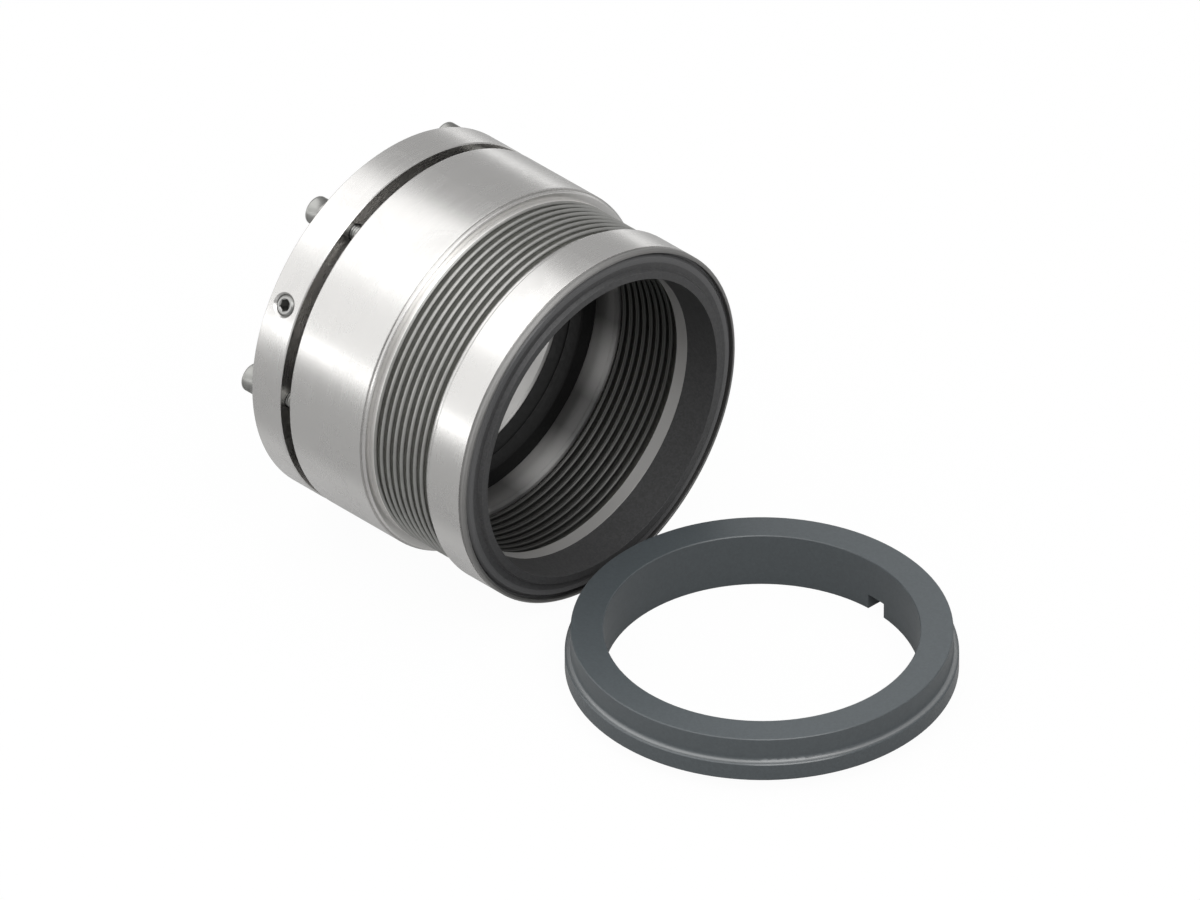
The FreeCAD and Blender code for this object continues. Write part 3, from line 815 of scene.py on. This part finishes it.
class SEAL_OT_cap_screws(bpy.types.Operator):
    """Six cap screws with ridged heads and hexagon sockets, on a circle round the shaft"""

    bl_idname = "seal.cap_screws"
    bl_label = "Cap screws"

    def execute(self, context):
        sizes = context.scene.seal_screws
        screw = lathe("cap_screws", self.outline(sizes), 2 * sizes.knurls, sizes)
        screws = grow(screw, repeat_round_shaft(), {"Count": len(CAP_SCREWS), "Radius": sizes.cap_circle})
        smooth(screws)
        # Cap screws get strong painted shade in their sockets and recesses
        material = machined_metal(
            "Cap screw steel", context.scene.seal_finishes.screws, 0.30, 0.42, 4000.0, painted_recess_shade=0.8)
        put_on(screws, material)
        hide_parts(*CAP_SCREWS)
        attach(screws, "collar")
        return {"FINISHED"}

    def outline(self, sizes):
        """From the drilled floor of the socket, round the head and down the shank to the tip."""
        crown, tip = CAP_LOW.x, CAP_HIGH.x
        head = (CAP_HIGH.z - CAP_LOW.z) / 2
        across = sizes.cap_socket / 2
        floor = crown + sizes.cap_socket_depth
        mouth_depth, mouth = 0.25 * MM, across * 1.3
        corner = 0.45 * MM
        ridges_from, ridges_to = crown + 0.75 * MM, -0.45 * MM
        bevel = 0.15 * MM
        rows = [
            (floor + across / 2, 0, "round"),
            (floor, across, "round"),
            (floor, across, "hexagon"),
            (crown + mouth_depth, across, "hexagon"),
            (crown, mouth, "round"),
        ]
        rows += [(x, r, "round") for x, r in arc((crown + corner, head - corner), corner, 180, 90, 5)]
        rows += [
            (ridges_from - bevel, head, "round"),
            (ridges_from, head, "knurl"),
            (ridges_to, head, "knurl"),
            (ridges_to + bevel, head, "round"),
            (-bevel, head, "round"),
            (0, head - bevel, "round"),
        ]
        return rows + self.shank(sizes, tip)

    def shank(self, sizes, tip):
        """From under the head, over the thread in steps of a quarter turn, to the bevelled tip."""
        radius = sizes.cap_shank
        runout = 0.2 * MM
        bevel = 0.5 * MM
        step = sizes.cap_pitch / 4
        thread_start = COLLAR_BACK + sizes.cap_plain
        steps = 4 * round(sizes.cap_thread / sizes.cap_pitch)
        thread = [(thread_start + step * number, radius, "thread") for number in range(steps + 1)]
        return [
            (0, radius, "round"),
            (thread_start - runout, radius, "round"),
            *thread,
            (thread[-1][0] + runout, radius, "round"),
            (tip - bevel, radius, "round"),
            (tip, radius - bevel, "round"),
            (tip, 0, "round"),
        ]


class SEAL_OT_set_screws(bpy.types.Operator):
    """Three headless set screws with hexagon sockets and cup points, each on a body of its own"""

    bl_idname = "seal.set_screws"
    bl_label = "Set screws"

    def execute(self, context):
        sizes = context.scene.seal_screws
        # Set screws get strong painted shade in their sockets and holes
        material = machined_metal(
            "Set screw steel", context.scene.seal_finishes.set_screws, 0.28, 0.40, 4000.0, painted_recess_shade=0.95)
        tree = repeat_round_shaft()
        for number, node in enumerate(SET_SCREWS):
            screw = lathe("set_screw_socket_%d" % (number + 1), self.outline(sizes), 72, sizes)
            screw.data.transform(Matrix.Rotation(math.pi / 2, 4, "Z"))
            angle = sizes.set_first_angle + math.tau * number / len(SET_SCREWS)
            grow(screw, tree, {"Count": 1, "First angle": angle, "Station": self.middle()})
            smooth(screw)
            put_on(screw, material)
            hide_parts(node)
            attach(screw, node)
        return {"FINISHED"}

    def middle(self):
        """The station of the set screws' axes."""
        low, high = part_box(SET_SCREWS[0])
        return (low.x + high.x) / 2

    def outline(self, sizes):
        """From its cup to the floor of its socket. The last of the three points straight down."""
        tip, top, radius = -SET_HIGH.z, -SET_LOW.z, sizes.set_radius
        cup_depth, cup, land = 0.5 * MM, 1.3 * MM, 0.1 * MM
        bevel = 0.35 * MM
        across = sizes.set_socket / 2
        floor = top - sizes.set_socket_depth
        mouth_depth, mouth = 0.2 * MM, across * 1.24
        return [
            (tip + cup_depth, 0, "round"),
            (tip, cup, "round"),
            (tip, cup + land, "round"),
            (tip + radius - cup - land, radius, "round"),
            (top - bevel, radius, "round"),
            (top, radius - bevel, "round"),
            (top, mouth, "round"),
            (top - mouth_depth, across, "hexagon"),
            (floor, across, "hexagon"),
            (floor, across, "round"),
            (floor - across / 2, 0, "round"),
        ]


class SEAL_OT_carbon(bpy.types.Operator):
    """Turned carbon with a lapped nose"""

    bl_idname = "seal.carbon"
    bl_label = "Carbon ring"

    def execute(self, context):
        base = context.scene.seal_finishes.carbon
        finish = Finish("Turned carbon", base, 0.0, 0.42)
        grain = finish.group(grain_group, Grains_per_metre=3000.0)
        lines = finish.group(turned_lines_group, Lines_per_metre=2200.0)
        edge = finish.group(edge_group, Rounding=0.1 * MM)
        lapped = finish.group(bore_group, Radius=context.scene.seal_faces.lapped)
        speckled = finish.mix(grain["Mask"], finish.tint(0.85), finish.tint(1.2))
        # Outside the lapped radius the face is lighter: a painted highlight ring
        toned = finish.mix(lapped["Mask"], finish.tint(2.0), speckled)
        # Edges much lighter: a painted highlight
        finish.feed("Base Color", finish.mix(edge["Mask"], toned, finish.tint(2.2)))
        sheen = finish.between(lines["Mask"], 0.0, 0.12)
        finish.feed("Roughness", finish.sum(sheen, finish.between(lapped["Mask"], 0.2, 0.36)))
        finish.feed("Normal", finish.relief(lines["Mask"], 0.004 * MM, edge["Normal"]))
        put_on(NODES["carbon_ring"], finish.material)
        return {"FINISHED"}


class SEAL_OT_mating_ring(bpy.types.Operator):
    """Ground silicon carbide, slate grey"""

    bl_idname = "seal.mating_ring"
    bl_label = "Mating ring"

    def execute(self, context):
        base = context.scene.seal_finishes.ceramic
        sizes = context.scene.seal_faces
        finish = Finish("Ground silicon carbide", base, 0.0, 0.36)
        finish.shader.inputs["IOR"].default_value = 1.75
        centred = add(finish.tree, "ShaderNodeMapping", {
            "Vector": finish.place, "Location": tuple(-RING_MIDDLE)})
        turned = add(finish.tree, "ShaderNodeVectorRotate", {
            "Vector": centred.outputs[0], "Angle": math.pi / 2}, rotation_type="Y_AXIS")
        finish.place = turned.outputs[0]
        grain = finish.group(grain_group, Grains_per_metre=2400.0)
        lines = finish.group(turned_lines_group, Lines_per_metre=1800.0)
        edge = finish.group(edge_group, Rounding=0.15 * MM)
        past_nose, below_shoulder = 0.25 * MM, 0.05 * MM
        nose = finish.group(bore_group, Radius=sizes.ring_nose + past_nose, Run=0.2 * MM)
        shoulder_height = RING_HIGH.z - RING_MIDDLE.z - sizes.ring_nose_height
        shoulder = finish.group(station_group, Station=shoulder_height - below_shoulder)
        speckled = finish.mix(grain["Mask"], finish.tint(0.93), finish.tint(1.07))
        # The fillet above the shoulder is much lighter: a painted highlight
        fillet = finish.mix(shoulder["Mask"], speckled, context.scene.seal_finishes.fillet_highlight)
        toned = finish.mix(nose["Mask"], fillet, speckled)
        finish.feed("Base Color", finish.mix(edge["Mask"], toned, finish.tint(0.8)))
        sheen = finish.between(lines["Mask"], 0.0, 0.1)
        finish.feed("Roughness", finish.sum(sheen, finish.between(nose["Mask"], 0.16, 0.34)))
        finish.feed("Normal", finish.relief(lines["Mask"], 0.003 * MM, edge["Normal"]))
        put_on(NODES["mating_ring"], finish.material)
        return {"FINISHED"}


# The studio

# A little over 1, so that the white stays white through the floor's share of its own colour
WHITE_STRENGTH = 1.05


def lit_or_white(tree, lit, kind, camera, mirrored):
    """Mixes a shader with plain white, by one share for the camera and one for reflections and glass."""
    path = add(tree, "ShaderNodeLightPath").outputs
    seen = calculate(tree, "MULTIPLY", path["Is Camera Ray"], camera)
    bounced = calculate(tree, "MAXIMUM", path["Is Glossy Ray"], path["Is Transmission Ray"])
    factor = calculate(tree, "MAXIMUM", seen, calculate(tree, "MULTIPLY", bounced, mirrored))
    white = add(tree, kind, {"Color": (1, 1, 1, 1), "Strength": WHITE_STRENGTH}).outputs[0]
    return add(tree, "ShaderNodeMixShader", {0: factor, 1: lit, 2: white}).outputs[0]


class SEAL_OT_stage(bpy.types.Operator):
    """A pale floor, soft lamps, white surroundings and the camera"""

    bl_idname = "seal.stage"
    bl_label = "Studio"

    def execute(self, context):
        stage = context.scene.seal_stage
        self.floor(stage)
        self.world(context.scene, stage)
        self.lamps()
        self.camera(context.scene, stage)
        context.scene.view_settings.view_transform = "Standard"
        return {"FINISHED"}

    def floor(self, stage):
        """A disc that mirrors as lit near the seal, and as plain white right under it and farther off."""
        mesh = bmesh.new()
        bmesh.ops.create_circle(mesh, cap_ends=True, segments=96, radius=4.0)
        bmesh.ops.translate(mesh, verts=mesh.verts, vec=(0, 0, CAD_BOX[0].z))
        floor = mesh_object("floor", mesh)
        material = bpy.data.materials.new("Pale floor")
        material.use_nodes = True
        tree = material.node_tree
        tree.nodes.clear()
        matt = add(tree, "ShaderNodeBsdfDiffuse", {"Color": (*stage.floor_colour, 1.0)}).outputs[0]
        place = add(tree, "ShaderNodeTexCoord").outputs["Object"]
        away = add(tree, "ShaderNodeVectorMath", {0: place}, operation="LENGTH").outputs["Value"]
        far = self.fade(tree, away, stage.far_start, stage.far_full, stage.near_white, 1.0, "SMOOTHSTEP")
        parts = add(tree, "ShaderNodeSeparateXYZ", {0: place}).outputs
        # A strip under the head glows white to reflections though the floor there is in shade: a painted
        # reflection
        aside = calculate(tree, "ABSOLUTE", parts["Y"])
        under = self.fade(
            tree, aside, stage.strip_side, stage.strip_side_end, stage.strip_white, 0.0, "SMOOTHSTEP")
        behind = self.fade(tree, parts["X"], stage.strip_front, stage.strip_front_end, 1.0, 0.0, "LINEAR")
        mirrored = calculate(tree, "MAXIMUM", far, calculate(tree, "MULTIPLY", under, behind))
        shown = lit_or_white(tree, matt, "ShaderNodeEmission", stage.floor_white, mirrored)
        add(tree, "ShaderNodeOutputMaterial", {0: shown})
        put_on(floor, material)

    def fade(self, tree, distance, start, end, low, high, kind):
        """A share that runs from low at a distance to high at another."""
        return add(tree, "ShaderNodeMapRange", {
            "Value": distance, "From Min": start, "From Max": end, "To Min": low, "To Max": high},
            interpolation_type=kind).outputs[0]

    def world(self, scene, stage):
        """White to the camera, dimmer as light, and dark in mirrors but for a trace."""
        world = bpy.data.worlds.new("White surroundings")
        world.use_nodes = True
        tree = world.node_tree
        tree.nodes.clear()
        ambient = add(tree, "ShaderNodeBackground", {
            "Color": (1, 1, 1, 1), "Strength": stage.ambient}).outputs[0]
        shown = lit_or_white(tree, ambient, "ShaderNodeBackground", 1.0, stage.mirrored_white)
        add(tree, "ShaderNodeOutputWorld", {0: shown})
        scene.world = world

    def lamps(self):
        """Soft boxes: each has a direction, a distance, a width, a height and its brightness."""
        middle = (CAD_BOX[0] + CAD_BOX[1]) / 2
        rows = (
            ("overhead", (-0.10, -0.14, 1.0), 1.2, 2.0, 2.0, 1.1),
            ("left", (-0.62, -0.75, 0.46), 1.3, 1.7, 0.8, 0.65),
            ("horizon_left", (-0.62, -0.75, 0.04), 1.3, 1.8, 0.16, 2.0),
            ("horizon_back", (-0.57, 0.80, 0.03), 1.3, 1.2, 0.10, 0.75),
            ("front", (0.63, -0.26, 0.74), 1.3, 0.8, 0.8, 2.5),
        )
        for name, direction, distance, width, height, brightness in rows:
            direction = Vector(direction).normalized()
            lamp = bpy.data.lights.new(name, "AREA")
            lamp.shape, lamp.size, lamp.size_y = "RECTANGLE", width, height
            lamp.energy = brightness * math.pi * width * height
            holder = bpy.data.objects.new(name, lamp)
            holder.location = middle + direction * distance
            holder.rotation_euler = (-direction).to_track_quat("-Z", "Y").to_euler()
            bpy.context.scene.collection.objects.link(holder)

    def camera(self, scene, stage):
        """A long lens far off, looking at the middle of the picture."""
        data = bpy.data.cameras.new("camera")
        data.lens, data.sensor_width = stage.lens, 36.0
        data.clip_start, data.clip_end = 0.1, 100.0
        camera = bpy.data.objects.new("camera", data)
        level = math.cos(stage.elevation)
        back = Vector((
            math.sin(stage.azimuth) * level, -math.cos(stage.azimuth) * level, math.sin(stage.elevation)))
        camera.location = Vector(stage.target) + back * stage.distance
        camera.rotation_euler = (-back).to_track_quat("-Z", "Y").to_euler()
        scene.collection.objects.link(camera)
        scene.camera = camera


class SEAL_PT_panel(bpy.types.Panel):
    """The seal's pieces in the sidebar"""

    bl_label = "Mechanical seal"
    bl_idname = "SEAL_PT_panel"
    bl_space_type = "VIEW_3D"
    bl_region_type = "UI"
    bl_category = "Seal"

    def draw(self, context):
        for name in STEPS:
            self.layout.operator("seal." + name)


STEPS = ("steel", "bellows", "packing", "cap_screws", "set_screws", "carbon", "mating_ring", "stage")
SETTINGS = {
    "seal_bellows": SealBellows, "seal_screws": SealScrews,
    "seal_faces": SealFaces, "seal_finishes": SealFinishes, "seal_stage": SealStage,
}
CLASSES = (
    *SETTINGS.values(), SEAL_OT_steel, SEAL_OT_bellows, SEAL_OT_packing, SEAL_OT_cap_screws,
    SEAL_OT_set_screws, SEAL_OT_carbon, SEAL_OT_mating_ring, SEAL_OT_stage, SEAL_PT_panel,
)


def register():
    for kind in CLASSES:
        bpy.utils.register_class(kind)
    for name, kind in SETTINGS.items():
        setattr(bpy.types.Scene, name, bpy.props.PointerProperty(type=kind))


def unregister():
    for name in SETTINGS:
        delattr(bpy.types.Scene, name)
    for kind in reversed(CLASSES):
        bpy.utils.unregister_class(kind)


def main():
    register()
    for name in STEPS:
        getattr(bpy.ops.seal, name)()


if __name__ == "__main__":
    main()
